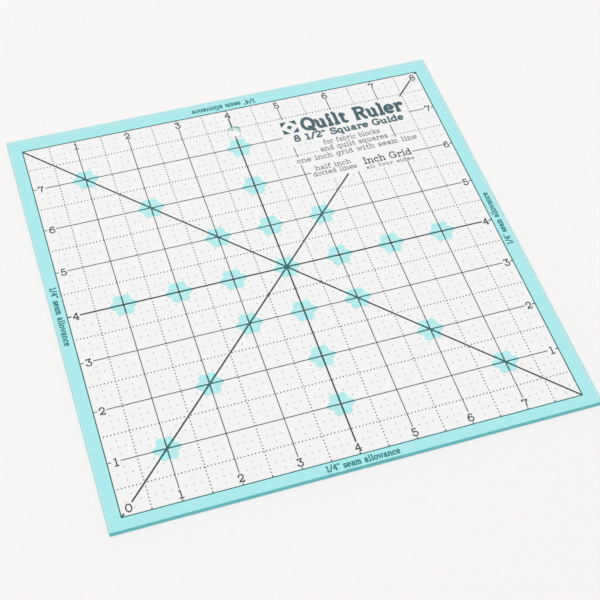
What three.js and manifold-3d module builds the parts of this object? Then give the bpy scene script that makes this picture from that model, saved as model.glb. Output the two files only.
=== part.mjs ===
// Quilting ruler: a clear acrylic square printed on its underside.
// Millimetres, +Z up. The origin is under the centre of the square, on the
// surface the ruler lies on. +X runs along the bottom row of numerals and +Y
// runs up the ruler.
//
// The print is two thin layers of ink. The dark ink (lines and numerals) is
// laid on the acrylic first. The aqua ink (seam allowance band and flower
// markers) is laid over it, so it fills round the dark lines and backs them.

import * as THREE from 'three';
import { mergeVertices } from 'three/addons/utils/BufferGeometryUtils.js';
import Module from 'manifold-3d';

const wasm = await Module();
wasm.setup();

// ---------------------------------------------------------------------------
// Driving dimensions
// ---------------------------------------------------------------------------

const INCH = 25.4;

// The measuring grid, in inches. Grid positions run from 0 to GRID_SIZE.
const GRID_SIZE = 8;
const SEAM_ALLOWANCE = 0.25;
const GRID_CENTRE = GRID_SIZE / 2;

// The sheet, in millimetres.
const SHEET_SIDE = (GRID_SIZE + 2 * SEAM_ALLOWANCE) * INCH;
const SHEET_THICKNESS = 3.0;

// The ink layers, in millimetres above the table.
const AQUA_BOTTOM = 0;
const DARK_BOTTOM = 0.04;
const INK_TOP = 0.08;

// The hang hole, on the vertical centre line.
const HOLE_DIAMETER = 6.5;
const HOLE_GRID_Y = 7.37;
const HOLE_SEGMENTS = 48;

// Line widths, in millimetres.
const BORDER_LINE = 0.48;
const THIN_LINE = 0.33;
const CENTRE_LINE = 0.63;
const DIAGONAL_LINE = 0.66;
const TICK_LINE = 0.46;
const CORNER_TICK_LINE = 0.8;

// Where the inch lines stop for the numerals, in inches from the grid edge.
const LINE_STOP_SIDE_X = 0.228;
const LINE_STOP_RIGHT_X = 0.198;
const LINE_STOP_BOTTOM_Y = 0.238;
const LINE_STOP_TOP_Y = 0.228;

// Tick lengths outside the numerals, in inches.
const TICK_BOTTOM = 0.038;
const TICK_TOP = 0.036;
const TICK_LEFT = 0.072;
const TICK_RIGHT = 0.056;
const CORNER_TICK_LOWER_LEFT = 0.055;
const CORNER_TICK_UPPER_RIGHT = 0.042;
const CORNER_TICK_ON_DIAGONAL = 0.03;

// Numerals, in millimetres and inches.
const NUMERAL_HEIGHT = 3.5;
const NUMERAL_STROKE = 0.48;
const NUMERAL_WIDTH_RATIO = 0.72;
const NUMERAL_BOTTOM_Y = 0.134;
const NUMERAL_TOP_Y = 7.866;
const NUMERAL_LEFT_X = 0.150;
const NUMERAL_RIGHT_X = 7.874;
const NUMERAL_SIDE_DROP = 0.010;

// Flower markers, in millimetres.
const PETAL_COUNT = 6;
const PETAL_RADIUS = 2.1;
const PETAL_DISTANCE = 3.9;
const FLOWER_EYE_RADIUS = 1.7;
const PETAL_SEGMENTS = 10;
const EYE_SEGMENTS = 12;

// The clear window in the grid that holds the heading, in inches.
// Every inch line and the rising diagonal stop short of it.
const HEADING_LEFT_Y7 = 4.86;
const HEADING_LEFT_Y6 = 5.12;
const HEADING_BOTTOM_X5 = 6.25;
const HEADING_BOTTOM_X6_X7 = 5.80;
const DIAGONAL_STOPS = 5.80;
const DIAGONAL_RESUMES = 7.45;
const DIAGONAL_START = 0.222;
const DIAGONAL_END = 7.806;

// ---------------------------------------------------------------------------
// Materials
// ---------------------------------------------------------------------------

const acrylic = new THREE.MeshStandardMaterial({ color: 0xdff3f2, roughness: 0.05, metalness: 0 });
const aquaInk = new THREE.MeshStandardMaterial({ color: 0x8fe3e3, roughness: 0.55, metalness: 0 });
const darkInk = new THREE.MeshStandardMaterial({ color: 0x2c3a40, roughness: 0.55, metalness: 0 });

for (const [name, material] of Object.entries({ acrylic, aquaInk, darkInk })) {
  material.name = name;
}

const group = new THREE.Group();
group.name = 'quilting_ruler';

// ---------------------------------------------------------------------------
// Solids from flat outlines
// ---------------------------------------------------------------------------

// Grid inches to millimetres from the centre of the ruler.
function gridToMm(x, y) {
  return new THREE.Vector2((x - GRID_CENTRE) * INCH, (y - GRID_CENTRE) * INCH);
}

function toManifold(geometry) {
  const bare = geometry.clone();
  bare.deleteAttribute('normal');
  bare.deleteAttribute('uv');
  const merged = mergeVertices(bare, 1e-5);
  return new wasm.Manifold(new wasm.Mesh({
    numProp: 3,
    vertProperties: new Float32Array(merged.attributes.position.array),
    triVerts: new Uint32Array(merged.index.array),
  }));
}

// A flat outline, with optional holes, raised from bottom to top.
function prism(outline, bottom, top, holes = []) {
  const shape = new THREE.Shape(outline);
  for (const hole of holes) {
    shape.holes.push(new THREE.Path(hole));
  }
  const depth = top - bottom;
  const geometry = new THREE.ExtrudeGeometry(shape, { depth, bevelEnabled: false });
  geometry.translate(0, 0, bottom);
  return toManifold(geometry);
}

function joinAll(solids) {
  return solids.reduce((joined, solid) => joined.add(solid));
}

function toGeometry(positions, triangles) {
  const geometry = new THREE.BufferGeometry();
  geometry.setAttribute('position', new THREE.BufferAttribute(new Float32Array(positions), 3));
  geometry.setIndex(new THREE.BufferAttribute(new Uint32Array(triangles), 1));
  geometry.computeVertexNormals();
  return geometry;
}

function addPiece(name, geometry, material) {
  const mesh = new THREE.Mesh(geometry, material);
  mesh.name = name;
  group.add(mesh);
}

function addSolid(name, solid, material) {
  const { vertProperties, triVerts } = solid.getMesh();
  addPiece(name, toGeometry(vertProperties, triVerts), material);
}

// ---------------------------------------------------------------------------
// Flat outlines
// ---------------------------------------------------------------------------

function square(side) {
  const half = side / 2;
  return [
    new THREE.Vector2(-half, -half),
    new THREE.Vector2(half, -half),
    new THREE.Vector2(half, half),
    new THREE.Vector2(-half, half),
  ];
}

function ellipse(centre, radiusX, radiusY, segments, firstAngle = 0) {
  const points = [];
  for (let i = 0; i < segments; i += 1) {
    const angle = firstAngle + (2 * Math.PI * i) / segments;
    const x = centre.x + radiusX * Math.cos(angle);
    const y = centre.y + radiusY * Math.sin(angle);
    points.push(new THREE.Vector2(x, y));
  }
  return points;
}

// The outline of a pen stroke of constant width along a run of points.
function strokeOutline(points, width) {
  const left = [];
  const right = [];
  const last = points.length - 1;
  points.forEach((point, i) => {
    const before = points[Math.max(i - 1, 0)];
    const after = points[Math.min(i + 1, last)];
    const incoming = point.clone().sub(i > 0 ? before : point).normalize();
    const outgoing = (i < last ? after : point).clone().sub(point).normalize();
    const along = incoming.clone().add(outgoing).normalize();
    const across = new THREE.Vector2(-along.y, along.x);
    const reference = i > 0 ? incoming : outgoing;
    const spread = across.dot(new THREE.Vector2(-reference.y, reference.x));
    const reach = width / 2 / spread;
    left.push(point.clone().addScaledVector(across, reach));
    right.push(point.clone().addScaledVector(across, -reach));
  });
  return right.concat(left.reverse());
}

// ---------------------------------------------------------------------------
// Printed lines that meet and cross
// ---------------------------------------------------------------------------

// A network of printed lines, in millimetres. Each stretch runs from one
// joint to the next. Stretches that share an end meet in a clean corner there.
class LineNetwork {
  constructor() {
    this.joints = new Map();
    this.stretches = [];
  }

  jointAt(point) {
    const key = `${point.x.toFixed(3)},${point.y.toFixed(3)}`;
    if (!this.joints.has(key)) {
      this.joints.set(key, { point, arms: [] });
    }
    return this.joints.get(key);
  }

  addStretch(from, to, width) {
    const direction = to.clone().sub(from).normalize();
    const start = { direction, half: width / 2 };
    const end = { direction: direction.clone().negate(), half: width / 2 };
    this.jointAt(from).arms.push(start);
    this.jointAt(to).arms.push(end);
    this.stretches.push([start, end]);
  }

  // A straight line between two grid positions, broken at every multiple of
  // step so that the lines crossing it there can join it.
  addLine(fromX, fromY, toX, toY, width, step = 1) {
    const from = new THREE.Vector2(fromX, fromY);
    const to = new THREE.Vector2(toX, toY);
    const along = fromX === toX ? 'y' : 'x';
    const low = Math.min(from[along], to[along]);
    const high = Math.max(from[along], to[along]);
    const breaks = [];
    for (let place = 0; place <= GRID_SIZE; place += step) {
      if (place > low && place < high) {
        breaks.push((place - from[along]) / (to[along] - from[along]));
      }
    }
    breaks.sort((a, b) => a - b);
    const places = [0, ...breaks, 1].map((share) => {
      const place = from.clone().lerp(to, share);
      return gridToMm(place.x, place.y);
    });
    for (let i = 1; i < places.length; i += 1) {
      this.addStretch(places[i - 1], places[i], width);
    }
  }

  // Finds where the edges of neighbouring arms meet, all round one joint.
  static squareCorners({ point, arms }) {
    arms.sort((a, b) => a.direction.angle() - b.direction.angle());
    arms.forEach((arm, i) => {
      const next = arms[(i + 1) % arms.length];
      const leftOfArm = new THREE.Vector2(-arm.direction.y, arm.direction.x);
      const leftOfNext = new THREE.Vector2(-next.direction.y, next.direction.x);
      const corner = point.clone().addScaledVector(leftOfArm, arm.half);
      const turn = arm.direction.cross(next.direction);
      if (arms.length > 1 && Math.abs(turn) > 1e-6) {
        const gap = leftOfArm.clone().multiplyScalar(arm.half).addScaledVector(leftOfNext, next.half);
        corner.addScaledVector(arm.direction, -gap.cross(next.direction) / turn);
      }
      arm.left = corner;
      next.right = corner;
    });
    if (arms.length === 1) {
      const [arm] = arms;
      const leftOfArm = new THREE.Vector2(-arm.direction.y, arm.direction.x);
      arm.right = point.clone().addScaledVector(leftOfArm, -arm.half);
    }
  }

  // The whole network raised from bottom to top as one closed body.
  geometry(bottom, top) {
    const flat = [];
    for (const joint of this.joints.values()) {
      LineNetwork.squareCorners(joint);
      if (joint.arms.length > 1) {
        for (const arm of joint.arms) {
          flat.push([joint.point, arm.right, arm.left]);
        }
      }
    }
    for (const [start, end] of this.stretches) {
      flat.push([start.right, end.left, end.right]);
      flat.push([start.right, end.right, start.left]);
    }
    return raise(flat, bottom, top);
  }
}

// A closed body from a flat patchwork of triangles, each anticlockwise.
function raise(flat, bottom, top) {
  const keyOf = (point) => `${point.x.toFixed(4)},${point.y.toFixed(4)}`;
  const numbers = new Map();
  const positions = [];
  const triangles = [];
  const numberOf = (point) => {
    const key = keyOf(point);
    if (!numbers.has(key)) {
      numbers.set(key, numbers.size * 2);
      positions.push(point.x, point.y, bottom, point.x, point.y, top);
    }
    return numbers.get(key);
  };
  const edges = new Set();
  for (const corners of flat) {
    const [a, b, c] = corners.map(numberOf);
    triangles.push(a, c, b, a + 1, b + 1, c + 1);
    edges.add(`${a},${b}`).add(`${b},${c}`).add(`${c},${a}`);
  }
  for (const edge of edges) {
    const [a, b] = edge.split(',').map(Number);
    if (!edges.has(`${b},${a}`)) {
      triangles.push(a, b, b + 1, a, b + 1, a + 1);
    }
  }
  return toGeometry(positions, triangles);
}

// ---------------------------------------------------------------------------
// The acrylic sheet
// ---------------------------------------------------------------------------

const holeCentre = gridToMm(GRID_CENTRE, HOLE_GRID_Y);
const holeOutline = ellipse(holeCentre, HOLE_DIAMETER / 2, HOLE_DIAMETER / 2, HOLE_SEGMENTS);
const sheet = prism(square(SHEET_SIDE), INK_TOP, INK_TOP + SHEET_THICKNESS, [holeOutline]);
addSolid('acrylic_plate', sheet, acrylic);

// ---------------------------------------------------------------------------
// Dark print: the border line of the grid and its ticks
// ---------------------------------------------------------------------------

const border = new LineNetwork();
border.addLine(0, 0, GRID_SIZE, 0, BORDER_LINE, 0.5);
border.addLine(GRID_SIZE, 0, GRID_SIZE, GRID_SIZE, BORDER_LINE);
border.addLine(GRID_SIZE, GRID_SIZE, 0, GRID_SIZE, BORDER_LINE);
border.addLine(0, GRID_SIZE, 0, 0, BORDER_LINE);

for (let inch = 1; inch < GRID_SIZE; inch += 1) {
  const width = inch === GRID_CENTRE ? CENTRE_LINE : TICK_LINE;
  const widthLeft = inch === GRID_CENTRE ? CENTRE_LINE : THIN_LINE;
  border.addLine(inch, 0, inch, TICK_BOTTOM, width);
  border.addLine(inch, GRID_SIZE, inch, GRID_SIZE - TICK_TOP, width);
  border.addLine(0, inch, TICK_LEFT, inch, widthLeft);
  border.addLine(GRID_SIZE, inch, GRID_SIZE - TICK_RIGHT, inch, width);
}

for (let half = 0.5; half < GRID_SIZE; half += 1) {
  border.addLine(half, 0, half, TICK_BOTTOM, TICK_LINE);
}

// A short heavy tick in each corner, along the diagonal.
function addCornerTick(x, y, length) {
  const towardsX = x === 0 ? length : GRID_SIZE - length;
  const towardsY = y === 0 ? length : GRID_SIZE - length;
  border.addLine(x, y, towardsX, towardsY, CORNER_TICK_LINE);
}

addCornerTick(0, 0, CORNER_TICK_LOWER_LEFT);
addCornerTick(GRID_SIZE, GRID_SIZE, CORNER_TICK_UPPER_RIGHT);
addCornerTick(0, GRID_SIZE, CORNER_TICK_ON_DIAGONAL);
addCornerTick(GRID_SIZE, 0, CORNER_TICK_ON_DIAGONAL);

const borderGeometry = border.geometry(DARK_BOTTOM, INK_TOP);
addPiece('grid_border_line', borderGeometry, darkInk);

// ---------------------------------------------------------------------------
// Dark print: inch lines, centre lines and diagonals
// ---------------------------------------------------------------------------

function lineWidth(inch) {
  return inch === GRID_CENTRE ? CENTRE_LINE : THIN_LINE;
}

const ruling = new LineNetwork();
const holeLow = HOLE_GRID_Y - HOLE_DIAMETER / 2 / INCH;
const holeHigh = HOLE_GRID_Y + HOLE_DIAMETER / 2 / INCH;
const lineTop = GRID_SIZE - LINE_STOP_TOP_Y;
const lineRight = GRID_SIZE - LINE_STOP_RIGHT_X;

// Upright inch lines. The one at 4 stops at the hang hole. Those at 5, 6 and 7
// stop under the heading.
const uprightTops = new Map([
  [4, holeLow],
  [5, HEADING_BOTTOM_X5],
  [6, HEADING_BOTTOM_X6_X7],
  [7, HEADING_BOTTOM_X6_X7],
]);
for (let inch = 1; inch < GRID_SIZE; inch += 1) {
  const top = uprightTops.get(inch) ?? lineTop;
  ruling.addLine(inch, LINE_STOP_BOTTOM_Y, inch, top, lineWidth(inch));
}

// Level inch lines. Those at 6 and 7 stop to the left of the heading.
const levelEnds = new Map([
  [6, HEADING_LEFT_Y6],
  [7, HEADING_LEFT_Y7],
]);
for (let inch = 1; inch < GRID_SIZE; inch += 1) {
  const right = levelEnds.get(inch) ?? lineRight;
  ruling.addLine(LINE_STOP_SIDE_X, inch, right, inch, lineWidth(inch));
}

// The rising diagonal stops under the heading. The falling one crosses the
// whole grid, from corner tick to corner tick.
ruling.addLine(DIAGONAL_START, DIAGONAL_START, DIAGONAL_STOPS, DIAGONAL_STOPS, DIAGONAL_LINE);
const fallingLow = CORNER_TICK_ON_DIAGONAL;
const fallingHigh = GRID_SIZE - fallingLow;
ruling.addLine(fallingLow, fallingHigh, fallingHigh, fallingLow, DIAGONAL_LINE);

const rulingGeometry = ruling.geometry(DARK_BOTTOM, INK_TOP);
addPiece('ruled_lines', rulingGeometry, darkInk);

// Two lengths stand apart from the rest of the ruling: the centre line above
// the hang hole, and the end of the rising diagonal beyond the heading.
function addLooseLine(name, from, to, width) {
  addSolid(name, prism(strokeOutline([from, to], width), DARK_BOTTOM, INK_TOP), darkInk);
}

const aboveHole = gridToMm(GRID_CENTRE, holeHigh);
const centreLineTop = gridToMm(GRID_CENTRE, lineTop);
addLooseLine('centre_line_above_hole', aboveHole, centreLineTop, CENTRE_LINE);
const beyondHeading = gridToMm(DIAGONAL_RESUMES, DIAGONAL_RESUMES);
const diagonalTop = gridToMm(DIAGONAL_END, DIAGONAL_END);
addLooseLine('diagonal_upper_end', beyondHeading, diagonalTop, DIAGONAL_LINE);

// ---------------------------------------------------------------------------
// Aqua print: the seam allowance band
// ---------------------------------------------------------------------------

const bandInner = square(GRID_SIZE * INCH);
const band = prism(square(SHEET_SIDE), AQUA_BOTTOM, INK_TOP, [bandInner]);
addSolid('seam_allowance_band', band.subtract(toManifold(borderGeometry)), aquaInk);

// ---------------------------------------------------------------------------
// Aqua print: flower markers on the cross and the diagonals of the grid
// ---------------------------------------------------------------------------

function flower(centre) {
  const petals = [];
  for (let i = 0; i < PETAL_COUNT; i += 1) {
    const angle = (2 * Math.PI * i) / PETAL_COUNT;
    const offset = new THREE.Vector2(Math.cos(angle), Math.sin(angle)).multiplyScalar(PETAL_DISTANCE);
    const petalCentre = centre.clone().add(offset);
    const outline = ellipse(petalCentre, PETAL_RADIUS, PETAL_RADIUS, PETAL_SEGMENTS, angle);
    petals.push(prism(outline, AQUA_BOTTOM, INK_TOP));
  }
  const heart = prism(ellipse(centre, PETAL_DISTANCE, PETAL_DISTANCE, PETAL_COUNT), AQUA_BOTTOM, INK_TOP);
  const eyeOutline = ellipse(centre, FLOWER_EYE_RADIUS, FLOWER_EYE_RADIUS, EYE_SEGMENTS);
  const eye = prism(eyeOutline, AQUA_BOTTOM - 1, INK_TOP + 1);
  return joinAll(petals).add(heart).subtract(eye);
}

// One in the centre, then one on each inch of both centre lines and both
// diagonals. The rising diagonal has none under the heading.
const LAST_RISING_FLOWER = 5;
const flowerPlaces = [[GRID_CENTRE, GRID_CENTRE]];
for (let inch = 1; inch < GRID_SIZE; inch += 1) {
  if (inch !== GRID_CENTRE) {
    flowerPlaces.push([GRID_CENTRE, inch]);
    flowerPlaces.push([inch, GRID_CENTRE]);
    flowerPlaces.push([inch, GRID_SIZE - inch]);
    if (inch <= LAST_RISING_FLOWER) {
      flowerPlaces.push([inch, inch]);
    }
  }
}

const rulingSolid = toManifold(rulingGeometry);
for (const [x, y] of flowerPlaces) {
  const marker = flower(gridToMm(x, y)).subtract(rulingSolid);
  addSolid(`flower_marker_x${x}_y${y}`, marker, aquaInk);
}

// ---------------------------------------------------------------------------
// Dark print: numerals in a plain typewriter style
// ---------------------------------------------------------------------------

// Numerals are drawn on a box one unit high and NUMERAL_WIDTH_RATIO wide, with
// the baseline at 0. Each is a list of pen strokes.

function line(...coordinates) {
  const points = [];
  for (let i = 0; i < coordinates.length; i += 2) {
    points.push(new THREE.Vector2(coordinates[i], coordinates[i + 1]));
  }
  return { points };
}

// Part of an ellipse, from one angle to another, in degrees anticlockwise
// from +X.
function arc(x, y, radiusX, radiusY, from, to) {
  const steps = Math.max(3, Math.round(Math.abs(to - from) / 30));
  const points = [];
  for (let i = 0; i <= steps; i += 1) {
    const angle = THREE.MathUtils.degToRad(from + ((to - from) * i) / steps);
    points.push(new THREE.Vector2(x + radiusX * Math.cos(angle), y + radiusY * Math.sin(angle)));
  }
  return { points };
}

function ring(x, y, radiusX, radiusY) {
  return { centre: new THREE.Vector2(x, y), radiusX, radiusY };
}

// The round end of a stroke.
function ball(x, y) {
  return { ball: new THREE.Vector2(x, y) };
}

const BALL_RADIUS = 0.10;
const BALL_SEGMENTS = 8;
const RING_SEGMENTS = 16;

const numeralStrokes = {
  0: [ring(0.36, 0.5, 0.35, 0.5)],
  1: [
    line(0.38, -0.03, 0.38, 1.05),
    line(0.16, 0.93, 0.40, 0.99),
    line(0.10, 0.0, 0.66, 0.0),
  ],
  2: [
    ball(0.10, 0.72),
    arc(0.36, 0.70, 0.30, 0.29, 175, -20),
    line(0.645, 0.615, 0.56, 0.44, 0.20, 0.20, 0.06, -0.02),
    line(0.07, 0.06, 0.22, 0.12, 0.50, 0.0, 0.64, 0.02, 0.70, 0.20),
  ],
  3: [
    line(0.10, 0.80, 0.14, 1.04),
    line(0.10, 0.98, 0.70, 0.98),
    line(0.66, 1.0, 0.31, 0.56),
    arc(0.36, 0.29, 0.33, 0.30, 100, -170),
    ball(0.06, 0.22),
  ],
  4: [
    line(0.53, 1.03, -0.02, 0.28),
    line(-0.02, 0.31, 0.76, 0.31),
    line(0.51, 1.0, 0.51, -0.03),
    line(0.32, 0.0, 0.72, 0.0),
  ],
  5: [
    line(0.10, 0.98, 0.64, 0.98),
    line(0.14, 1.02, 0.12, 0.47),
    arc(0.35, 0.30, 0.34, 0.30, 128, -165),
    ball(0.06, 0.20),
  ],
  6: [
    ring(0.36, 0.30, 0.33, 0.30),
    arc(0.42, 0.40, 0.39, 0.60, 185, 62),
    ball(0.60, 0.87),
  ],
  7: [
    line(0.02, 0.74, 0.05, 1.03),
    line(0.04, 0.90, 0.20, 0.99, 0.50, 0.88, 0.74, 0.98),
    line(0.71, 1.0, 0.46, 0.52, 0.38, -0.04),
  ],
  8: [
    ring(0.36, 0.755, 0.27, 0.245),
    ring(0.36, 0.27, 0.34, 0.27),
  ],
};

function strokeSolid(stroke, toPage) {
  if (stroke.ball) {
    const radius = BALL_RADIUS * NUMERAL_HEIGHT;
    return prism(ellipse(toPage(stroke.ball), radius, radius, BALL_SEGMENTS), DARK_BOTTOM, INK_TOP);
  }
  if (stroke.centre) {
    const centre = toPage(stroke.centre);
    const halfStroke = NUMERAL_STROKE / 2;
    const x = stroke.radiusX * NUMERAL_HEIGHT;
    const y = stroke.radiusY * NUMERAL_HEIGHT;
    const outer = ellipse(centre, x + halfStroke, y + halfStroke, RING_SEGMENTS);
    const inner = ellipse(centre, x - halfStroke, y - halfStroke, RING_SEGMENTS);
    return prism(outer, DARK_BOTTOM, INK_TOP, [inner]);
  }
  return prism(strokeOutline(stroke.points.map(toPage), NUMERAL_STROKE), DARK_BOTTOM, INK_TOP);
}

function addNumeral(name, digit, gridX, gridY) {
  const centre = gridToMm(gridX, gridY);
  const toPage = (point) => new THREE.Vector2(
    centre.x + (point.x - NUMERAL_WIDTH_RATIO / 2) * NUMERAL_HEIGHT,
    centre.y + (point.y - 0.5) * NUMERAL_HEIGHT,
  );
  const solids = numeralStrokes[digit].map((stroke) => strokeSolid(stroke, toPage));
  addSolid(name, joinAll(solids), darkInk);
}

for (let inch = 1; inch < GRID_SIZE; inch += 1) {
  addNumeral(`numeral_bottom_${inch}`, inch, inch, NUMERAL_BOTTOM_Y);
  addNumeral(`numeral_top_${inch}`, inch, inch, NUMERAL_TOP_Y);
  addNumeral(`numeral_left_${inch}`, inch, NUMERAL_LEFT_X, inch - NUMERAL_SIDE_DROP);
  addNumeral(`numeral_right_${inch}`, inch, NUMERAL_RIGHT_X, inch - NUMERAL_SIDE_DROP);
}
addNumeral('numeral_corner_0', 0, NUMERAL_LEFT_X, NUMERAL_BOTTOM_Y);
addNumeral('numeral_corner_8', 8, NUMERAL_RIGHT_X, NUMERAL_TOP_Y);

export default group;
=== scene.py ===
"""The quilting ruler: a clear acrylic square with its print seen through it.

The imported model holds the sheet, the aqua and dark print and the numerals. This
script makes the sheet again as polished acrylic, adds the marks that are too
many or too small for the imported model, and gives every piece its material.
Lengths are in metres unless a name says inches. A grid position is in inches,
from 0 to 8 each way, as the ruler's numerals count it.
"""

import math

import bmesh
import bpy
from mathutils import Matrix, Vector


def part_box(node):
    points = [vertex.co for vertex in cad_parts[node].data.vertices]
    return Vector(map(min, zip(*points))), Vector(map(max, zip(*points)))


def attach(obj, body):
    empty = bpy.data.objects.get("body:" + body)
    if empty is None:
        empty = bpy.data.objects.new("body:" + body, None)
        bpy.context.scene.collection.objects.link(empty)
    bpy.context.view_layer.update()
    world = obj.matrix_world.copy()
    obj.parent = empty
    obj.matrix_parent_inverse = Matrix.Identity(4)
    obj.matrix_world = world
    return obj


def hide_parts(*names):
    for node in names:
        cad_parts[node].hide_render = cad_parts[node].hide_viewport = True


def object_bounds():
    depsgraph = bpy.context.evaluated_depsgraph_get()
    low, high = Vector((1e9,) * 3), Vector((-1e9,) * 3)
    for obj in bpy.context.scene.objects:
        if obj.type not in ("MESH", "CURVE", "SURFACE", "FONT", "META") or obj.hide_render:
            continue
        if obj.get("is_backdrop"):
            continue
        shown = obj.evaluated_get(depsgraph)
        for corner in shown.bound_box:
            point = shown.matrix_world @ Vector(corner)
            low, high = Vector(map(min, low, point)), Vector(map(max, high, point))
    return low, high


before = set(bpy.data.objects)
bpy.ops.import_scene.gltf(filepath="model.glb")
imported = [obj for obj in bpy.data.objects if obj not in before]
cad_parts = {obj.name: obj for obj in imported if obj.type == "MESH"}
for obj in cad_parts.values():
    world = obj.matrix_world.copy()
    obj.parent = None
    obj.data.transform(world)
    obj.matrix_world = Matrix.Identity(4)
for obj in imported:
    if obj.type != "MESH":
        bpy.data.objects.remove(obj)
cad_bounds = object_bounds()

# ---------------------------------------------------------------------------
# Driving dimensions
# ---------------------------------------------------------------------------

INCH = 0.0254
GRID_SIZE = 8
GRID_CENTRE = GRID_SIZE / 2

SHEET_LOW, SHEET_HIGH = (Vector(corner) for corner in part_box("acrylic_plate"))
INK_TOP = SHEET_LOW.z
INK_BED = 0.00002  # how far the acrylic reaches down round the ink
SHEET_EASE = 0.00014  # the sanded arris along the cut, which carries a painted highlight
HOLE_EASE = 0.00014
CORNER_EASE = 0.0004

HOLE_RADIUS = 0.00325
HOLE_GRID_Y = 7.37
HOLE_SEGMENTS = 96
HOLE_SHADE_DEPTH = 0.00075  # down to the foot of the band of painted shade in the hole
HOLE_CLEARANCE = 0.0004  # between the hole and the nearest dot

# The fine print lies between these heights, its top a hair above the aqua.
FINE_LOW = INK_TOP - 0.00003
FINE_HIGH = INK_TOP + 0.00001

THIN_LINE = 0.00033
HALF_INCH_DOT = 0.00056
FINE_DOT = 0.00056
DOT_SIDES = 8
FINE_DOT_OFFSET = 0.125  # inches from the middle of a half inch square
DIAGONAL_CLEARANCE = 0.03  # inches between a diagonal and the nearest dot
DOT_END_CLEARANCE = 0.02  # inches between the last dot of a line and the grid edge

# Strokes are stepped apart in height, because faces at one height shade each other.
STROKE_STEP = 0.0000003
STROKE_STEPS = 12
MITRE_LIMIT = 0.5  # a corner widens a stroke to at most one over this
SAME_POINT = 1e-7  # a stroke is closed if its ends are nearer than this

# Where the inch lines stop for the numerals, in inches from the grid edge.
LINE_STOP_TOP = 0.228
LINE_STOP_RIGHT = 0.198

# The dots of the upright and the level dotted lines: how many to the inch, and
# how far the first lies from the grid edge, in dots.
UPRIGHT_DOTS = (15.42, 0.485)
LEVEL_DOTS = (16.12, 0.93)

# Lines are printed over the flowers they cross: their width there, in metres, and
# how far the overprint reaches from the flower's middle, in inches.
THIN_OVERPRINT = 0.00068
HEAVY_OVERPRINT = 0.00088
LEVEL_REACH = 0.245
UPRIGHT_REACH = 0.185
DIAGONAL_REACH = 0.215

# The legends, in inches. The baseline is measured from the edge of the grid.
LEGEND_TEXT = '1/4" seam allowance'
LEGEND_BASELINE = -0.1625
LEGEND_SPAN = 1.29
LEGEND_HEIGHT = 0.105
LEGEND_WEIGHT = 0.224  # a stroke's share of the height
LEFT_LEGEND_SHIFT = 0.065

# The quilt block beside the title, in grid inches.
MARK_X = 5.08
MARK_Y = 7.235
MARK_HALF = 0.155
MARK_CORNER = 0.125
MARK_HEART = 0.055


def to_metres(x, y):
    """A grid position as a point on the ruler."""
    return Vector(((x - GRID_CENTRE) * INCH, (y - GRID_CENTRE) * INCH, 0))


# ---------------------------------------------------------------------------
# Materials
# ---------------------------------------------------------------------------

ACRYLIC_IOR = 1.49
FROST_ROUGHNESS = 0.6

# Noise scales, in cells per metre, and bump heights, in metres.
CLOUD_SCALE = 60.0
SMEAR_SCALE = 35.0
STRIATION_SCALE = 900.0
FROST_SCALE = 400.0
DENSITY_SCALE = 350.0
GRAIN_SCALE = 4000.0
STRIATION_HEIGHT = 0.00002
GRAIN_HEIGHT = 0.000004

# Noise seldom leaves the middle of its range, so a spread runs between these.
NOISE_LOW = 0.3
NOISE_HIGH = 0.7

# What light meets on its way out through a tinted face.
CLEAR_TINT = (0.98, 1, 1, 1)


def new_material(name):
    """A material with an empty node tree, its tree and its output node."""
    material = bpy.data.materials.new(name)
    material.use_nodes = True
    tree = material.node_tree
    tree.nodes.clear()
    output = tree.nodes.new("ShaderNodeOutputMaterial")
    return material, tree, output


def noise(tree, scale, detail=4.0, stretch=(1, 1, 1)):
    """Noise in object space, scale in cells per metre."""
    coordinates = tree.nodes.new("ShaderNodeTexCoord")
    mapping = tree.nodes.new("ShaderNodeMapping")
    mapping.inputs["Scale"].default_value = stretch
    texture = tree.nodes.new("ShaderNodeTexNoise")
    texture.inputs["Scale"].default_value = scale
    texture.inputs["Detail"].default_value = detail
    tree.links.new(coordinates.outputs["Object"], mapping.inputs["Vector"])
    tree.links.new(mapping.outputs["Vector"], texture.inputs["Vector"])
    return texture.outputs["Fac"]


def ramp(tree, factor, low, high):
    """A ramp between two colours, each (r, g, b)."""
    node = tree.nodes.new("ShaderNodeValToRGB")
    first, last = node.color_ramp.elements
    first.position = NOISE_LOW
    last.position = NOISE_HIGH
    first.color = (*low, 1)
    last.color = (*high, 1)
    tree.links.new(factor, node.inputs["Fac"])
    return node.outputs["Color"]


def spread(tree, factor, low, high):
    """A value that wanders between low and high."""
    node = tree.nodes.new("ShaderNodeMapRange")
    node.inputs["From Min"].default_value = NOISE_LOW
    node.inputs["From Max"].default_value = NOISE_HIGH
    node.inputs["To Min"].default_value = low
    node.inputs["To Max"].default_value = high
    tree.links.new(factor, node.inputs["Value"])
    return node.outputs["Result"]


def bump(tree, factor, distance, strength):
    """A surface normal roughened by a factor, distance metres high."""
    node = tree.nodes.new("ShaderNodeBump")
    node.inputs["Distance"].default_value = distance
    node.inputs["Strength"].default_value = strength
    tree.links.new(factor, node.inputs["Height"])
    return node.outputs["Normal"]


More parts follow.
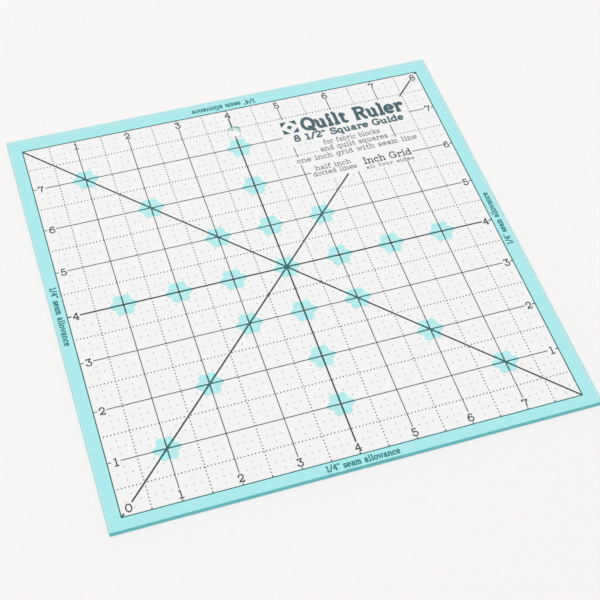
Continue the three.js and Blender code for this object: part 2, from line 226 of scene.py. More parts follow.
def open_to_light(tree, glass, output, shade):
    """Lets light fall straight through the glass, tinted, on what lies behind it."""
    path = tree.nodes.new("ShaderNodeLightPath")
    clear = tree.nodes.new("ShaderNodeBsdfTransparent")
    clear.inputs["Color"].default_value = (*shade, 1)
    for_bounces = tree.nodes.new("ShaderNodeMixShader")
    tree.links.new(path.outputs["Is Diffuse Ray"], for_bounces.inputs[0])
    tree.links.new(glass, for_bounces.inputs[1])
    tree.links.new(clear.outputs[0], for_bounces.inputs[2])
    for_lamps = tree.nodes.new("ShaderNodeMixShader")
    tree.links.new(path.outputs["Is Shadow Ray"], for_lamps.inputs[0])
    tree.links.new(for_bounces.outputs[0], for_lamps.inputs[1])
    tree.links.new(clear.outputs[0], for_lamps.inputs[2])
    tree.links.new(for_lamps.outputs[0], output.inputs["Surface"])


def clear_from_inside(tree, tint):
    """A tint on faces seen from outside, and none on faces seen from inside."""
    side = tree.nodes.new("ShaderNodeNewGeometry")
    blend = tree.nodes.new("ShaderNodeMix")
    blend.data_type = "RGBA"
    blend.inputs["B"].default_value = CLEAR_TINT
    tree.links.new(side.outputs["Backfacing"], blend.inputs["Factor"])
    tree.links.new(tint, blend.inputs["A"])
    return blend.outputs["Result"]


def ground(tree, clear, low, high, share):
    """Adds the light that a ground face scatters back, seen from outside only."""
    frost = tree.nodes.new("ShaderNodeBsdfPrincipled")
    frost.inputs["Roughness"].default_value = FROST_ROUGHNESS
    clouds = noise(tree, FROST_SCALE)
    tree.links.new(ramp(tree, clouds, low, high), frost.inputs["Base Color"])
    side = tree.nodes.new("ShaderNodeNewGeometry")
    amount = tree.nodes.new("ShaderNodeMapRange")
    amount.inputs["To Min"].default_value = share
    amount.inputs["To Max"].default_value = 0.0
    tree.links.new(side.outputs["Backfacing"], amount.inputs["Value"])
    blend = tree.nodes.new("ShaderNodeMixShader")
    tree.links.new(amount.outputs["Result"], blend.inputs[0])
    tree.links.new(clear, blend.inputs[1])
    tree.links.new(frost.outputs[0], blend.inputs[2])
    return blend.outputs[0]


def acrylic_material(
    name,
    low,
    high,
    roughness,
    shade,
    clarity=1.0,
    striated=False,
    one_way=False,
    frost=None,
):
    """Acrylic, its tint between two colours and its roughness between two values.

    shade tints the light that falls through. striated adds the cutter's marks,
    and one_way tints the faces only where they are seen from outside. frost is two
    colours and a share, for a ground face.
    """
    material, tree, output = new_material(name)
    shader = tree.nodes.new("ShaderNodeBsdfPrincipled")
    shader.inputs["IOR"].default_value = ACRYLIC_IOR
    shader.inputs["Transmission Weight"].default_value = clarity
    clouds = noise(tree, CLOUD_SCALE)
    tint = ramp(tree, clouds, low, high)
    if one_way:
        tint = clear_from_inside(tree, tint)
    tree.links.new(tint, shader.inputs["Base Color"])
    smears = noise(tree, SMEAR_SCALE, 6.0, (1, 2.5, 1))
    tree.links.new(spread(tree, smears, *roughness), shader.inputs["Roughness"])
    if striated:
        lines = noise(tree, STRIATION_SCALE, 2.0, (1, 1, 0.04))
        tree.links.new(bump(tree, lines, STRIATION_HEIGHT, 0.15), shader.inputs["Normal"])
    surface = shader.outputs[0]
    if frost:
        surface = ground(tree, surface, *frost)
    open_to_light(tree, surface, output, shade)
    return material


def ink_material(name, low, high, roughness=(0.45, 0.6)):
    """Printed ink: a little uneven in density, with a faint screen texture."""
    material, tree, output = new_material(name)
    shader = tree.nodes.new("ShaderNodeBsdfPrincipled")
    shader.inputs["Specular IOR Level"].default_value = 0.1
    density = noise(tree, DENSITY_SCALE, 5.0)
    tree.links.new(ramp(tree, density, low, high), shader.inputs["Base Color"])
    grain = noise(tree, GRAIN_SCALE, 2.0)
    tree.links.new(spread(tree, grain, *roughness), shader.inputs["Roughness"])
    tree.links.new(bump(tree, grain, GRAIN_HEIGHT, 0.2), shader.inputs["Normal"])
    tree.links.new(shader.outputs[0], output.inputs["Surface"])
    return material


def edge_paling_ink_material(name, low, high, thin, full_at, pale_at):
    """Ink that turns paler towards the cut edges, from its full colour at the first distance to the pale
    colour at the second, in metres from the middle.
    """
    material = ink_material(name, low, high)
    tree = material.node_tree
    shader = tree.nodes["Principled BSDF"]
    full_colour = shader.inputs["Base Color"].links[0].from_socket
    coordinates = tree.nodes.new("ShaderNodeTexCoord")
    axes = tree.nodes.new("ShaderNodeSeparateXYZ")
    tree.links.new(coordinates.outputs["Object"], axes.inputs["Vector"])
    reach = tree.nodes.new("ShaderNodeMath")
    reach.operation = "MAXIMUM"
    for i, axis in enumerate("XY"):
        size = tree.nodes.new("ShaderNodeMath")
        size.operation = "ABSOLUTE"
        tree.links.new(axes.outputs[axis], size.inputs[0])
        tree.links.new(size.outputs[0], reach.inputs[i])
    paling = tree.nodes.new("ShaderNodeMapRange")
    paling.inputs["From Min"].default_value = full_at
    paling.inputs["From Max"].default_value = pale_at
    tree.links.new(reach.outputs[0], paling.inputs["Value"])
    blend = tree.nodes.new("ShaderNodeMix")
    blend.data_type = "RGBA"
    blend.inputs["B"].default_value = (*thin, 1)
    tree.links.new(paling.outputs["Result"], blend.inputs["Factor"])
    tree.links.new(full_colour, blend.inputs["A"])
    tree.links.new(blend.outputs["Result"], shader.inputs["Base Color"])
    return material


ACRYLIC = acrylic_material(
    "clear_acrylic",
    (0.990, 0.999, 0.999),
    (0.996, 1.0, 1.0),
    (0.0, 0.015),
    shade=(0.990, 0.999, 1.0),
)
# Painted shade and a painted reflection of the aqua print: the cut walls' deep teal tint and teal frost,
# shown from outside only.
CUT_EDGE_SHADE = acrylic_material(
    "cut_edge_painted_shade",
    (0.006, 0.23, 0.255),
    (0.014, 0.27, 0.30),
    (0.05, 0.12),
    shade=(0.84, 0.95, 0.96),
    striated=True,
    one_way=True,
    frost=((0.090, 0.450, 0.480), (0.130, 0.500, 0.530), 0.65),
)
# Partly a real sanded arris, partly a painted highlight: its aqua, partly diffuse face gives the bright
# line along the cut edges.
ARRIS = acrylic_material(
    "sanded_arris_painted_highlight",
    (0.30, 0.72, 0.76),
    (0.40, 0.80, 0.84),
    (0.3, 0.5),
    shade=(0.86, 0.95, 0.96),
    clarity=0.8,
)
# Painted shade and a painted reflection of the aqua print: the teal band round the top of the hole's
# wall, shown from outside only.
HOLE_RIM_SHADE = acrylic_material(
    "hole_rim_painted_shade",
    (0.05, 0.22, 0.22),
    (0.08, 0.28, 0.28),
    (0.1, 0.2),
    shade=(0.95, 0.98, 0.98),
    one_way=True,
    frost=((0.06, 0.38, 0.38), (0.10, 0.45, 0.45), 0.6),
)
HOLE_WALL = acrylic_material(
    "hole_wall",
    (0.90, 0.98, 0.98),
    (0.95, 1.0, 1.0),
    (0.05, 0.1),
    shade=(0.98, 0.99, 0.99),
    one_way=True,
    frost=((0.70, 0.88, 0.88), (0.80, 0.93, 0.93), 0.6),
)
# The band turns paler towards the cut edges.
AQUA_INK = edge_paling_ink_material(
    "aqua_ink",
    (0.395, 0.800, 0.810),
    (0.430, 0.827, 0.840),
    thin=(0.600, 0.810, 0.815),
    full_at=0.1066,
    pale_at=0.1080,
)
FLOWER_INK = ink_material("flower_ink", (0.420, 0.805, 0.810), (0.470, 0.845, 0.850))
DARK_INK = ink_material("dark_ink", (0.004, 0.018, 0.022), (0.008, 0.028, 0.034))
BORDER_INK = ink_material("border_ink", (0.001, 0.115, 0.122), (0.004, 0.135, 0.143))
OVERPRINT_INK = ink_material("overprint_ink", (0.0, 0.150, 0.158), (0.003, 0.172, 0.182))
HEAVY_OVERPRINT_INK = ink_material("heavy_overprint_ink", (0.0, 0.130, 0.138), (0.003, 0.150, 0.160))
DOT_INK = ink_material("dot_ink", (0.010, 0.015, 0.019), (0.026, 0.034, 0.040))
FINE_DOT_INK = ink_material("fine_dot_ink", (0.47, 0.475, 0.48), (0.53, 0.535, 0.54))
NOTE_INK = ink_material("note_ink", (0.100, 0.113, 0.123), (0.130, 0.145, 0.155))
LEGEND_INK = ink_material("legend_ink", (0.0, 0.187, 0.197), (0.002, 0.222, 0.237))
HEADING_INK = ink_material("heading_ink", (0.041, 0.104, 0.120), (0.047, 0.120, 0.142))
FLOOR = ink_material("floor", (0.910, 0.890, 0.880), (0.924, 0.904, 0.896), (0.7, 0.8))

# ---------------------------------------------------------------------------
# Making pieces
# ---------------------------------------------------------------------------


def add_piece(name, bm, *materials):
    """An object made from a bmesh, with its materials."""
    mesh = bpy.data.meshes.new(name)
    bmesh.ops.recalc_face_normals(bm, faces=bm.faces)
    bm.to_mesh(mesh)
    bm.free()
    piece = bpy.data.objects.new(name, mesh)
    bpy.context.scene.collection.objects.link(piece)
    for material in materials:
        mesh.materials.append(material)
    return piece


def add_print(name, bm, material):
    """A piece of fine print."""
    piece = add_piece(name, bm, material)
    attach(piece, "root")


def skin_between(bm, lower, upper):
    """Faces between two closed rings of vertices. Returns the faces."""
    count = len(lower)
    faces = []
    for i in range(count):
        j = (i + 1) % count
        faces.append(bm.faces.new((lower[i], lower[j], upper[j], upper[i])))
    return faces


# ---------------------------------------------------------------------------
# The acrylic sheet
# ---------------------------------------------------------------------------


def sheet_ring(bm, height, inset):
    """One ring round the sheet, with eased corners."""
    reach_x = SHEET_HIGH.x - inset
    reach_y = SHEET_HIGH.y - inset
    points = []
    for sign_x, sign_y in ((1, 1), (-1, 1), (-1, -1), (1, -1)):
        along_x = Vector((sign_x * (reach_x - CORNER_EASE), sign_y * reach_y, height))
        along_y = Vector((sign_x * reach_x, sign_y * (reach_y - CORNER_EASE), height))
        points += [along_y, along_x] if sign_x == sign_y else [along_x, along_y]
    return [bm.verts.new(point) for point in points]


def hole_ring(bm, height, outset):
    """One ring round the hang hole."""
    centre = to_metres(GRID_CENTRE, HOLE_GRID_Y)
    ring = []
    for i in range(HOLE_SEGMENTS):
        angle = 2 * math.pi * i / HOLE_SEGMENTS
        reach = HOLE_RADIUS + outset
        offset = Vector((reach * math.cos(angle), reach * math.sin(angle), height))
        ring.append(bm.verts.new(centre + offset))
    return ring


def wall_levels(ease):
    """Heights up a wall, each with how far the arris sets it back."""
    low = INK_TOP - INK_BED
    high = SHEET_HIGH.z
    return (
        (low, ease),
        (low + ease, 0),
        (high - HOLE_SHADE_DEPTH, 0),
        (high - ease, 0),
        (high, ease),
    )


# The sheet's materials. The slots below are places in this list, going up a wall.
SHEET_MATERIALS = (ACRYLIC, CUT_EDGE_SHADE, ARRIS, HOLE_RIM_SHADE, HOLE_WALL)

# The outer walls are cut, tinted with painted shade and a painted reflection of the print,
# between sanded arrises with a painted highlight. The hole's wall is pale, with a band
# of painted shade near the top and a clear arris above it.
OUTER_SLOTS = (2, 1, 1, 2)
HOLE_SLOTS = (4, 4, 3, 0)


def make_sheet():
    """The clear sheet: polished faces, cut walls and sanded arrises, with painted shade and a painted
    reflection of the print on the walls and a painted highlight on the arrises.
    """
    bm = bmesh.new()
    outer = [sheet_ring(bm, height, setback) for height, setback in wall_levels(SHEET_EASE)]
    inner = [hole_ring(bm, height, setback) for height, setback in wall_levels(HOLE_EASE)]
    for rings, slots in ((outer, OUTER_SLOTS), (inner, HOLE_SLOTS)):
        for slot, lower, upper in zip(slots, rings, rings[1:]):
            for face in skin_between(bm, lower, upper):
                face.material_index = slot
    for rings in ((outer[0], inner[0]), (outer[-1], inner[-1])):
        edges = []
        for ring in rings:
            for i, vertex in enumerate(ring):
                edges.append(bm.edges.get((vertex, ring[(i + 1) % len(ring)])))
        bmesh.ops.triangle_fill(bm, use_beauty=True, edges=edges)
    sheet = add_piece("acrylic_sheet", bm, *SHEET_MATERIALS)
    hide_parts("acrylic_plate")
    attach(sheet, "root")


make_sheet()

# ---------------------------------------------------------------------------
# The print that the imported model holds
# ---------------------------------------------------------------------------


def paint_frame_print():
    """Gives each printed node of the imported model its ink."""
    for name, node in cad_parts.items():
        if name == "acrylic_plate":
            continue
        ink = DARK_INK
        if name == "seam_allowance_band":
            ink = AQUA_INK
        if name == "grid_border_line":
            ink = BORDER_INK
        if name.startswith("flower_marker"):
            ink = FLOWER_INK
        node.data.materials.clear()
        node.data.materials.append(ink)


paint_frame_print()

# ---------------------------------------------------------------------------
# The heading's clear window in the grid
# ---------------------------------------------------------------------------

# Rectangles, in grid inches, that the dots stay out of.
HEADING_WINDOWS = (
    (4.86, 6.78, 7.44, 7.44),
    (5.42, 6.42, 6.91, 6.80),
    (4.88, 6.24, 7.44, 6.44),
    (5.12, 5.79, 7.18, 6.26),
)


def in_heading(x, y):
    """Whether a grid position lies in the heading's window."""
    return any(x0 < x < x1 and y0 < y < y1 for x0, y0, x1, y1 in HEADING_WINDOWS)


def in_hole(x, y):
    """Whether a grid position is in the hang hole or at its rim."""
    away = math.hypot(x - GRID_CENTRE, y - HOLE_GRID_Y) * INCH
    return away < HOLE_RADIUS + HOLE_CLEARANCE


def near_diagonal(x, y):
    """Whether a dot here would touch a diagonal."""
    return min(abs(x - y), abs(x + y - GRID_SIZE)) < DIAGONAL_CLEARANCE


# ---------------------------------------------------------------------------
# Flat shapes of ink
# ---------------------------------------------------------------------------


def add_slab(bm, outline, lift=0.0):
    """A thin slab of ink over a convex outline of (x, y) points, lift thicker each way."""
    lower = [bm.verts.new((x, y, FINE_LOW - lift)) for x, y in outline]
    upper = [bm.verts.new((x, y, FINE_HIGH + lift)) for x, y in outline]
    bm.faces.new(upper)
    bm.faces.new(lower[::-1])
    skin_between(bm, lower, upper)


def disc_outline(centre, diameter, sides, first=0.0):
    """Points round a disc. first is where the first one lies, in sides."""
    reach = diameter / 2
    outline = []
    for i in range(sides):
        angle = 2 * math.pi * (i + first) / sides
        outline.append((centre.x + reach * math.cos(angle), centre.y + reach * math.sin(angle)))
    return outline


def add_dot(bm, x, y, diameter):
    """A round dot at a grid position."""
    add_slab(bm, disc_outline(to_metres(x, y), diameter, DOT_SIDES, 0.5))


def add_line(bm, start, end, width):
    """A straight line of ink between two points, in metres."""
    along = (end - start).normalized()
    across = Vector((-along.y, along.x, 0)) * (width / 2)
    outline = (start - across, end - across, end + across, start + across)
    add_slab(bm, [(point.x, point.y) for point in outline])


# ---------------------------------------------------------------------------
# Half inch dotted lines and fine dots
# ---------------------------------------------------------------------------


def dots_along(per_inch, first):
    """Places of the dots along a dotted line, in grid inches."""
    place = first / per_inch
    while place < GRID_SIZE - DOT_END_CLEARANCE:
        yield place
        place += 1 / per_inch


def make_dotted_lines():
    """Upright and level dotted lines at every half inch."""
    bm = bmesh.new()
    for inch in range(GRID_SIZE):
        half = inch + 0.5
        places = [(half, y) for y in dots_along(*UPRIGHT_DOTS)]
        places += [(x, half) for x in dots_along(*LEVEL_DOTS)]
        for x, y in places:
            if in_heading(x, y) or in_hole(x, y) or near_diagonal(x, y):
                continue
            add_dot(bm, x, y, HALF_INCH_DOT)
    add_print("half_inch_dotted_lines", bm, DOT_INK)


def make_fine_dots():
    """Five fine dots in each half inch square: one in the middle and four round it."""
    bm = bmesh.new()
    step = FINE_DOT_OFFSET
    offsets = ((0, 0), (step, 0), (-step, 0), (0, step), (0, -step))
    for i in range(2 * GRID_SIZE):
        for j in range(2 * GRID_SIZE):
            for offset_x, offset_y in offsets:
                x = (i + 0.5) / 2 + offset_x
                y = (j + 0.5) / 2 + offset_y
                if not (in_heading(x, y) or in_hole(x, y) or near_diagonal(x, y)):
                    add_dot(bm, x, y, FINE_DOT)
    add_print("fine_dots", bm, FINE_DOT_INK)


def make_loose_line_ends():
    """Lengths of inch line that the heading cuts off from the rest."""
    bm = bmesh.new()
    top = GRID_SIZE - LINE_STOP_TOP
    right = GRID_SIZE - LINE_STOP_RIGHT
    # Above the heading, beside its notes, and to its right.
    ends = [((x, 7.47), (x, top)) for x in (5, 6, 7)]
    ends += [((5, 6.455), (5, 6.71)), ((7, 6.44), (7, 6.78))]
    ends += [((7.49, 7), (right, 7)), ((7.17, 6), (right, 6))]
    for start, end in ends:
        add_line(bm, to_metres(*start), to_metres(*end), THIN_LINE)
    add_print("loose_line_ends", bm, DARK_INK)


make_dotted_lines()
make_fine_dots()
make_loose_line_ends()

# ---------------------------------------------------------------------------
# Lettering: plain typewriter letters made of pen strokes
# ---------------------------------------------------------------------------

# Letters stand on a baseline at 0. Capitals and tall letters are 1 high.
X_HEIGHT = 0.66
SERIF = 0.13
FLAG = 0.15
FOOT = 0.14

# Curves are drawn in steps of about this many degrees.
ARC_STEP = 15
FEWEST_ARC_STEPS = 4

# A round end is this share of the height wider than the pen.
SPOT_EXTRA = 0.07
SPOT_SIDES = 16


def line(*coordinates):
    """A run of straight strokes through x, y pairs."""
    return list(zip(coordinates[::2], coordinates[1::2]))


def arc(x, y, radius_x, radius_y, start, end):
    """Part of an ellipse, in degrees anticlockwise from the right."""
    steps = max(FEWEST_ARC_STEPS, round(abs(end - start) / ARC_STEP))
    points = []
    for i in range(steps + 1):
        angle = math.radians(start + (end - start) * i / steps)
        points.append((x + radius_x * math.cos(angle), y + radius_y * math.sin(angle)))
    return points


def ring(x, y, radius_x, radius_y):
    """A whole ellipse."""
    return arc(x, y, radius_x, radius_y, 0, 360)


def dot(x, y):
    """A round end: a stroke of a single point, drawn as a disc."""
    return [(x, y)]


def slab(x, y, reach=SERIF):
    """A slab serif across the end of a stem."""
    return line(x - reach, y, x + reach, y)


def flag(x, y):
    """A slab serif to the left of a stem only."""
    return line(x - FLAG, y, x, y)


def foot(x, y):
    """A slab serif to the right of a stem only."""
    return line(x, y, x + FOOT, y)


# Each letter is its advance and its strokes.
LETTERS = {
    " ": (0.42, []),
    "a": (0.64, [arc(0.28, 0.48, 0.17, 0.18, 160, 0), line(0.45, 0.48, 0.45, 0.0), foot(0.45, 0.0),
                 ring(0.28, 0.19, 0.17, 0.19)]),
    "b": (0.66, [line(0.15, 0, 0.15, 1), flag(0.15, 1), ring(0.36, 0.33, 0.21, 0.33)]),
    "c": (0.60, [arc(0.32, 0.33, 0.23, 0.33, 45, 315), dot(0.47, 0.52)]),
    "d": (0.68, [ring(0.28, 0.33, 0.21, 0.33), line(0.49, 0, 0.49, 1), flag(0.49, 1), foot(0.49, 0)]),
    "e": (0.62, [arc(0.31, 0.33, 0.23, 0.33, 0, 318), line(0.08, 0.34, 0.54, 0.34)]),
    "f": (0.48, [line(0.2, 0, 0.2, 0.78), arc(0.36, 0.78, 0.16, 0.22, 180, 40), slab(0.2, 0),
                 line(0.05, X_HEIGHT, 0.42, X_HEIGHT)]),
    "g": (0.66, [ring(0.28, 0.33, 0.21, 0.33), line(0.49, X_HEIGHT, 0.49, -0.1), foot(0.49, X_HEIGHT),
                 arc(0.29, -0.1, 0.2, 0.2, 0, -150)]),
    "h": (0.70, [line(0.15, 0, 0.15, 1), flag(0.15, 1), arc(0.34, 0.42, 0.19, 0.24, 180, 0),
                 line(0.53, 0.42, 0.53, 0), slab(0.15, 0), slab(0.53, 0)]),
    "i": (0.40, [line(0.2, 0, 0.2, X_HEIGHT), flag(0.2, X_HEIGHT), slab(0.2, 0, 0.16), dot(0.2, 0.92)]),
    "k": (0.68, [line(0.15, 0, 0.15, 1), flag(0.15, 1), line(0.17, 0.24, 0.5, X_HEIGHT),
                 line(0.3, 0.4, 0.54, 0), slab(0.15, 0), slab(0.54, 0), slab(0.5, X_HEIGHT)]),
    "l": (0.40, [line(0.2, 0, 0.2, 1), flag(0.2, 1), slab(0.2, 0, 0.16)]),
    "m": (0.92, [line(0.14, 0, 0.14, X_HEIGHT), flag(0.14, X_HEIGHT), arc(0.29, 0.46, 0.15, 0.2, 180, 0),
                 line(0.44, 0.46, 0.44, 0), arc(0.59, 0.46, 0.15, 0.2, 180, 0), line(0.74, 0.46, 0.74, 0),
                 slab(0.14, 0, 0.11), slab(0.44, 0, 0.11), slab(0.74, 0, 0.11)]),
    "n": (0.70, [line(0.15, 0, 0.15, X_HEIGHT), flag(0.15, X_HEIGHT), arc(0.34, 0.42, 0.19, 0.24, 180, 0),
                 line(0.53, 0.42, 0.53, 0), slab(0.15, 0), slab(0.53, 0)]),
    "o": (0.62, [ring(0.31, 0.33, 0.23, 0.33)]),
    "q": (0.68, [ring(0.28, 0.33, 0.21, 0.33), line(0.49, X_HEIGHT, 0.49, -0.28), slab(0.49, -0.28)]),
    "r": (0.56, [line(0.2, 0, 0.2, X_HEIGHT), flag(0.2, X_HEIGHT), arc(0.4, 0.4, 0.2, 0.26, 175, 60),
                 dot(0.48, 0.58), slab(0.2, 0)]),
    "s": (0.56, [arc(0.28, 0.49, 0.17, 0.17, 20, 270), arc(0.28, 0.16, 0.19, 0.16, 90, -160),
                 line(0.45, 0.48, 0.45, 0.66), line(0.09, 0.18, 0.09, 0.0)]),
    "t": (0.50, [line(0.2, 0.88, 0.2, 0.16), arc(0.33, 0.16, 0.13, 0.16, 180, 330),
                 line(0.05, X_HEIGHT, 0.42, X_HEIGHT)]),
    "u": (0.70, [line(0.16, X_HEIGHT, 0.16, 0.2), arc(0.33, 0.2, 0.17, 0.2, 180, 360),
                 line(0.5, X_HEIGHT, 0.5, 0), flag(0.16, X_HEIGHT), flag(0.5, X_HEIGHT), foot(0.5, 0)]),
    "w": (0.84, [line(0.14, X_HEIGHT, 0.27, 0, 0.42, 0.6, 0.57, 0, 0.7, X_HEIGHT), slab(0.14, X_HEIGHT),
                 slab(0.7, X_HEIGHT)]),
    "G": (0.84, [arc(0.4, 0.5, 0.33, 0.5, 45, 330), line(0.46, 0.42, 0.8, 0.42),
                 line(0.69, 0.42, 0.69, 0.06), line(0.66, 0.74, 0.66, 1)]),
    "I": (0.44, [line(0.22, 0, 0.22, 1), slab(0.22, 0, 0.16), slab(0.22, 1, 0.16)]),
    "Q": (0.82, [ring(0.4, 0.5, 0.33, 0.5), line(0.34, 0.2, 0.46, 0.18, 0.62, -0.12, 0.76, -0.1)]),
    "R": (0.80, [line(0.18, 0, 0.18, 1), line(0.04, 1, 0.44, 1), arc(0.44, 0.755, 0.2, 0.245, 90, -90),
                 line(0.18, 0.51, 0.44, 0.51), line(0.42, 0.51, 0.64, 0.0, 0.76, 0.0), slab(0.18, 0)]),
    "S": (0.70, [arc(0.34, 0.755, 0.24, 0.245, 20, 270), arc(0.34, 0.255, 0.26, 0.255, 90, -160),
                 line(0.58, 0.74, 0.58, 1), line(0.08, 0.0, 0.08, 0.26)]),
    "1": (0.56, [line(0.3, 0, 0.3, 1), line(0.1, 0.86, 0.3, 0.98), slab(0.3, 0, 0.2)]),
    "2": (0.66, [arc(0.32, 0.72, 0.22, 0.28, 170, -30), line(0.51, 0.58, 0.1, 0.06),
                 line(0.08, 0.02, 0.56, 0.02), line(0.56, 0.0, 0.56, 0.2)]),
    "4": (0.68, [line(0.46, 1, 0.06, 0.3), line(0.06, 0.3, 0.62, 0.3), line(0.46, 1, 0.46, 0),
                 slab(0.46, 0)]),
    "8": (0.68, [ring(0.33, 0.75, 0.2, 0.25), ring(0.33, 0.26, 0.25, 0.26)]),
    "/": (0.50, [line(0.04, -0.14, 0.46, 1.08)]),
    '"': (0.42, [line(0.12, 1.02, 0.12, 0.72), line(0.3, 1.02, 0.3, 0.72)]),
}


def add_stroke(bm, points, width, lift):
    """A ribbon of ink of constant width along a run of points, lift thicker each way."""
    closed = (points[0] - points[-1]).length < SAME_POINT
    count = len(points)
    left = []
    right = []
    for i, point in enumerate(points):
        before = points[-2] if closed else point
        if i > 0:
            before = points[i - 1]
        after = points[1] if closed else point
        if i < count - 1:
            after = points[i + 1]
        outgoing = (after - point).normalized()
        incoming = (point - before).normalized() if before != point else outgoing
        if after == point:
            outgoing = incoming
        along = (incoming + outgoing).normalized()
        across = Vector((-along.y, along.x, 0))
        square = Vector((-incoming.y, incoming.x, 0))
        reach = width / 2 / max(across.dot(square), MITRE_LIMIT)
        left.append(point + across * reach)
        right.append(point - across * reach)
    levels = []
    for height in (FINE_LOW - lift, FINE_HIGH + lift):
        for side in (left, right):
            levels.append([bm.verts.new((p.x, p.y, height)) for p in side])
    low_left, low_right, high_left, high_right = levels
    for i in range(count - 1):
        j = i + 1
        bm.faces.new((high_left[i], high_left[j], high_right[j], high_right[i]))
        bm.faces.new((low_right[i], low_right[j], low_left[j], low_left[i]))
        bm.faces.new((high_right[i], high_right[j], low_right[j], low_right[i]))
        bm.faces.new((low_left[i], low_left[j], high_left[j], high_left[i]))
    if not closed:
        for i in (0, count - 1):
            bm.faces.new((high_left[i], high_right[i], low_right[i], low_left[i]))


def text_width(text):
    """The sum of the letters' advances."""
    return sum(LETTERS[character][0] for character in text)


def add_text(bm, text, left, right, baseline, height, weight, turn=0.0):
    """Lettering from left to right, in grid inches, stretched to fit the span.

    height is that of a capital, in inches, and weight the stroke's share of it.
    turn is a turn about the ruler's centre, in degrees.
    """
    stretch = (right - left) / text_width(text)
    rotation = Matrix.Rotation(math.radians(turn), 3, "Z")
    pen = left
    step = 0
    for character in text:
        advance, strokes = LETTERS[character]
        for stroke in strokes:
            step = (step + 1) % STROKE_STEPS
            points = []
            for x, y in stroke:
                points.append(rotation @ to_metres(pen + x * stretch, baseline + y * height))
            lift = step * STROKE_STEP
            if len(points) == 1:
                diameter = (weight + SPOT_EXTRA) * height * INCH
                add_slab(bm, disc_outline(points[0], diameter, SPOT_SIDES), lift)
            else:
                add_stroke(bm, points, weight * height * INCH, lift)
        pen += advance * stretch


# Side, turn in degrees and where the legend's middle lies along its side.
LEGEND_PLACES = (
    ("front", 0, GRID_CENTRE),
    ("right", 90, GRID_CENTRE),
    ("back", 180, GRID_CENTRE),
    ("left", 270, GRID_CENTRE - LEFT_LEGEND_SHIFT),
)


def make_legends():
    """The seam allowance legend in the middle of each side, foot outwards."""
    for side, turn, middle in LEGEND_PLACES:
        bm = bmesh.new()
        left = middle - LEGEND_SPAN / 2
        right = middle + LEGEND_SPAN / 2
        add_text(
            bm, LEGEND_TEXT, left, right, LEGEND_BASELINE, LEGEND_HEIGHT, LEGEND_WEIGHT, turn
        )
        add_print(f"seam_legend_{side}", bm, LEGEND_INK)


# Each line of the heading: name, ink, text, left, right, baseline, height and weight.
HEADING = (
    ("title", HEADING_INK, "Quilt Ruler", 5.32, 7.42, 7.09, 0.29, 0.235),
    ("size", HEADING_INK, '8 1/2" Square Guide', 5.07, 7.33, 6.85, 0.145, 0.225),
    ("note_1", NOTE_INK, "for fabric blocks", 5.59, 6.75, 6.635, 0.115, 0.089),
    ("note_2", NOTE_INK, "and quilt squares", 5.47, 6.86, 6.475, 0.115, 0.104),
    ("note_3", NOTE_INK, "one inch grid with seam line", 4.94, 7.40, 6.30, 0.115, 0.099),
    ("note_4", NOTE_INK, "half inch", 5.23, 5.95, 6.045, 0.105, 0.104),
    ("note_5", NOTE_INK, "dotted lines", 5.14, 6.02, 5.905, 0.105, 0.104),
    ("note_6", DARK_INK, "Inch Grid", 6.17, 7.16, 5.945, 0.150, 0.125),
    ("note_7", NOTE_INK, "all four sides", 6.17, 7.16, 5.815, 0.075, 0.115),
)


def make_heading():
    """A generic heading in the upper right of the grid."""
    for name, ink, text, left, right, baseline, height, weight in HEADING:
        bm = bmesh.new()
        add_text(bm, text, left, right, baseline, height, weight)
        add_print(f"heading_{name}", bm, ink)


def make_heading_mark():
    """A plain quilt block beside the title: dark corners round a pale diamond."""
    inner = MARK_HALF - MARK_CORNER
    corner = ((MARK_HALF, MARK_HALF), (inner, MARK_HALF), (MARK_HALF, inner))
    heart = ((MARK_HEART, 0), (0, MARK_HEART), (-MARK_HEART, 0), (0, -MARK_HEART))
    shapes = [(corner, turn) for turn in (0, 90, 180, 270)]
    shapes.append((heart, 0))
    bm = bmesh.new()
    for shape, turn in shapes:
        rotation = Matrix.Rotation(math.radians(turn), 3, "Z")
        outline = []
        for across, up in shape:
            point = rotation @ Vector((across, up, 0))
            outline.append(to_metres(MARK_X + point.x, MARK_Y + point.y).to_tuple()[:2])
        add_slab(bm, outline)
    add_print("heading_mark", bm, HEADING_INK)


def make_flower_crossings():
    """The lines that cross each flower, printed over its ink.

    The centre lines and diagonals are heavy, and drawn a step higher. So on the
    row at 4 the heavy level line and the thin upright lie at one height.
    """
    thin = bmesh.new()
    heavy = bmesh.new()
    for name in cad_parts:
        if not name.startswith("flower_marker"):
            continue
        low, high = (Vector(corner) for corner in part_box(name))
        middle = (low + high) / 2
        x = round(middle.x / INCH + GRID_CENTRE)
        y = round(middle.y / INCH + GRID_CENTRE)
        crossings = [(0, LEVEL_REACH, y == GRID_CENTRE), (90, UPRIGHT_REACH, x == GRID_CENTRE)]
        if x == y:
            crossings.append((45, DIAGONAL_REACH, True))
        if x + y == GRID_SIZE:
            crossings.append((135, DIAGONAL_REACH, True))
        centre = to_metres(x, y)
        for step, (angle, reach, is_heavy) in enumerate(crossings):
            turn = math.radians(angle)
            along = Vector((math.cos(turn), math.sin(turn), 0)) * (reach * INCH)
            ends = [centre - along, centre + along]
            if is_heavy:
                add_stroke(heavy, ends, HEAVY_OVERPRINT, (step + 1) * STROKE_STEP)
            else:
                add_stroke(thin, ends, THIN_OVERPRINT, step * STROKE_STEP)
    add_print("flower_crossings_thin", thin, OVERPRINT_INK)
    add_print("flower_crossings_heavy", heavy, HEAVY_OVERPRINT_INK)


make_legends()
make_heading()
make_heading_mark()
make_flower_crossings()

# ---------------------------------------------------------------------------
# Floor, light and camera
# ---------------------------------------------------------------------------

FLOOR_GAP = 0.00005
FLOOR_REACH = 3.0

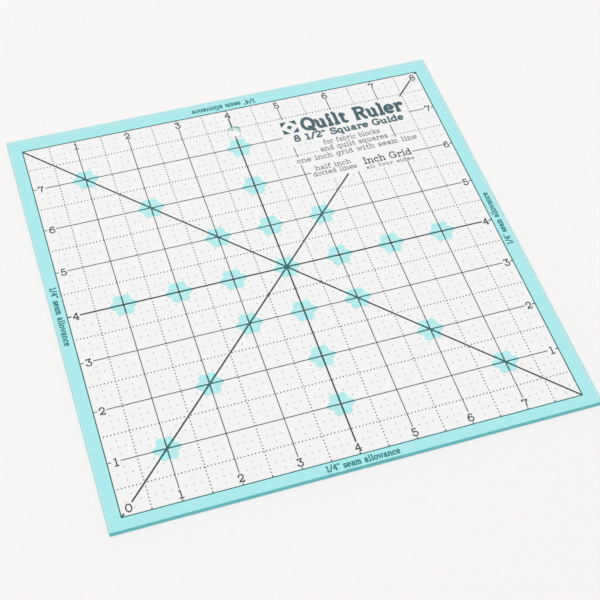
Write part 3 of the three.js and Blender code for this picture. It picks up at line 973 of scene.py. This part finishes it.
CAMERA_AT = Vector((-0.12845, -0.34973, 0.48916))
CAMERA_LOOKS = Vector((0.21303, 0.54773, -0.80908))
CAMERA_ROLL = math.radians(4.099)
CAMERA_LENS = 80.61
CAMERA_SENSOR = 36

WORLD_STRENGTH = 0.765

# Soft boxes: name, place, side in metres and power in watts. The back one stands
# clear of the direction that the sheet mirrors to the camera.
SOFT_BOXES = (
    ("overhead_panel", (-0.4, -0.9, 2.0), 2.0, 10.5),
    ("back_panel", (0.3, 2.2, 1.2), 1.0, 15.8),
)


def make_floor():
    """A plain pale floor, a hair below the print."""
    bm = bmesh.new()
    corners = ((-1, -1), (1, -1), (1, 1), (-1, 1))
    vertices = []
    for x, y in corners:
        vertices.append(bm.verts.new((x * FLOOR_REACH, y * FLOOR_REACH, -FLOOR_GAP)))
    bm.faces.new(vertices)
    floor = add_piece("floor", bm, FLOOR)
    floor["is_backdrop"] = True


def make_world(strength):
    """Even white surroundings, like the inside of a light tent."""
    world = bpy.data.worlds.new("light_tent")
    world.use_nodes = True
    background = world.node_tree.nodes["Background"]
    background.inputs["Color"].default_value = (1.0, 1.0, 1.0, 1)
    background.inputs["Strength"].default_value = strength
    bpy.context.scene.world = world


def make_area_light(name, place, size, power):
    """A square soft box aimed at the ruler."""
    data = bpy.data.lights.new(name, "AREA")
    data.shape = "SQUARE"
    data.size = size
    data.energy = power
    light = bpy.data.objects.new(name, data)
    light.location = place
    light.rotation_euler = (-Vector(place)).to_track_quat("-Z", "Y").to_euler()
    bpy.context.scene.collection.objects.link(light)


def make_camera():
    """The camera, at the angle the ruler is shown from."""
    data = bpy.data.cameras.new("camera")
    data.lens = CAMERA_LENS
    data.sensor_width = CAMERA_SENSOR
    camera = bpy.data.objects.new("camera", data)
    aim = CAMERA_LOOKS.to_track_quat("-Z", "Y").to_matrix().to_4x4()
    roll = Matrix.Rotation(CAMERA_ROLL, 4, "Z")
    camera.matrix_world = Matrix.Translation(CAMERA_AT) @ aim @ roll
    bpy.context.scene.collection.objects.link(camera)
    bpy.context.scene.camera = camera


make_floor()
make_world(WORLD_STRENGTH)
for soft_box in SOFT_BOXES:
    make_area_light(*soft_box)
make_camera()
bpy.context.scene.view_settings.view_transform = "Standard"

boxes = {"cad": cad_bounds, "visual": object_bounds()}
{name: [list(corner) for corner in box] for name, box in boxes.items()}
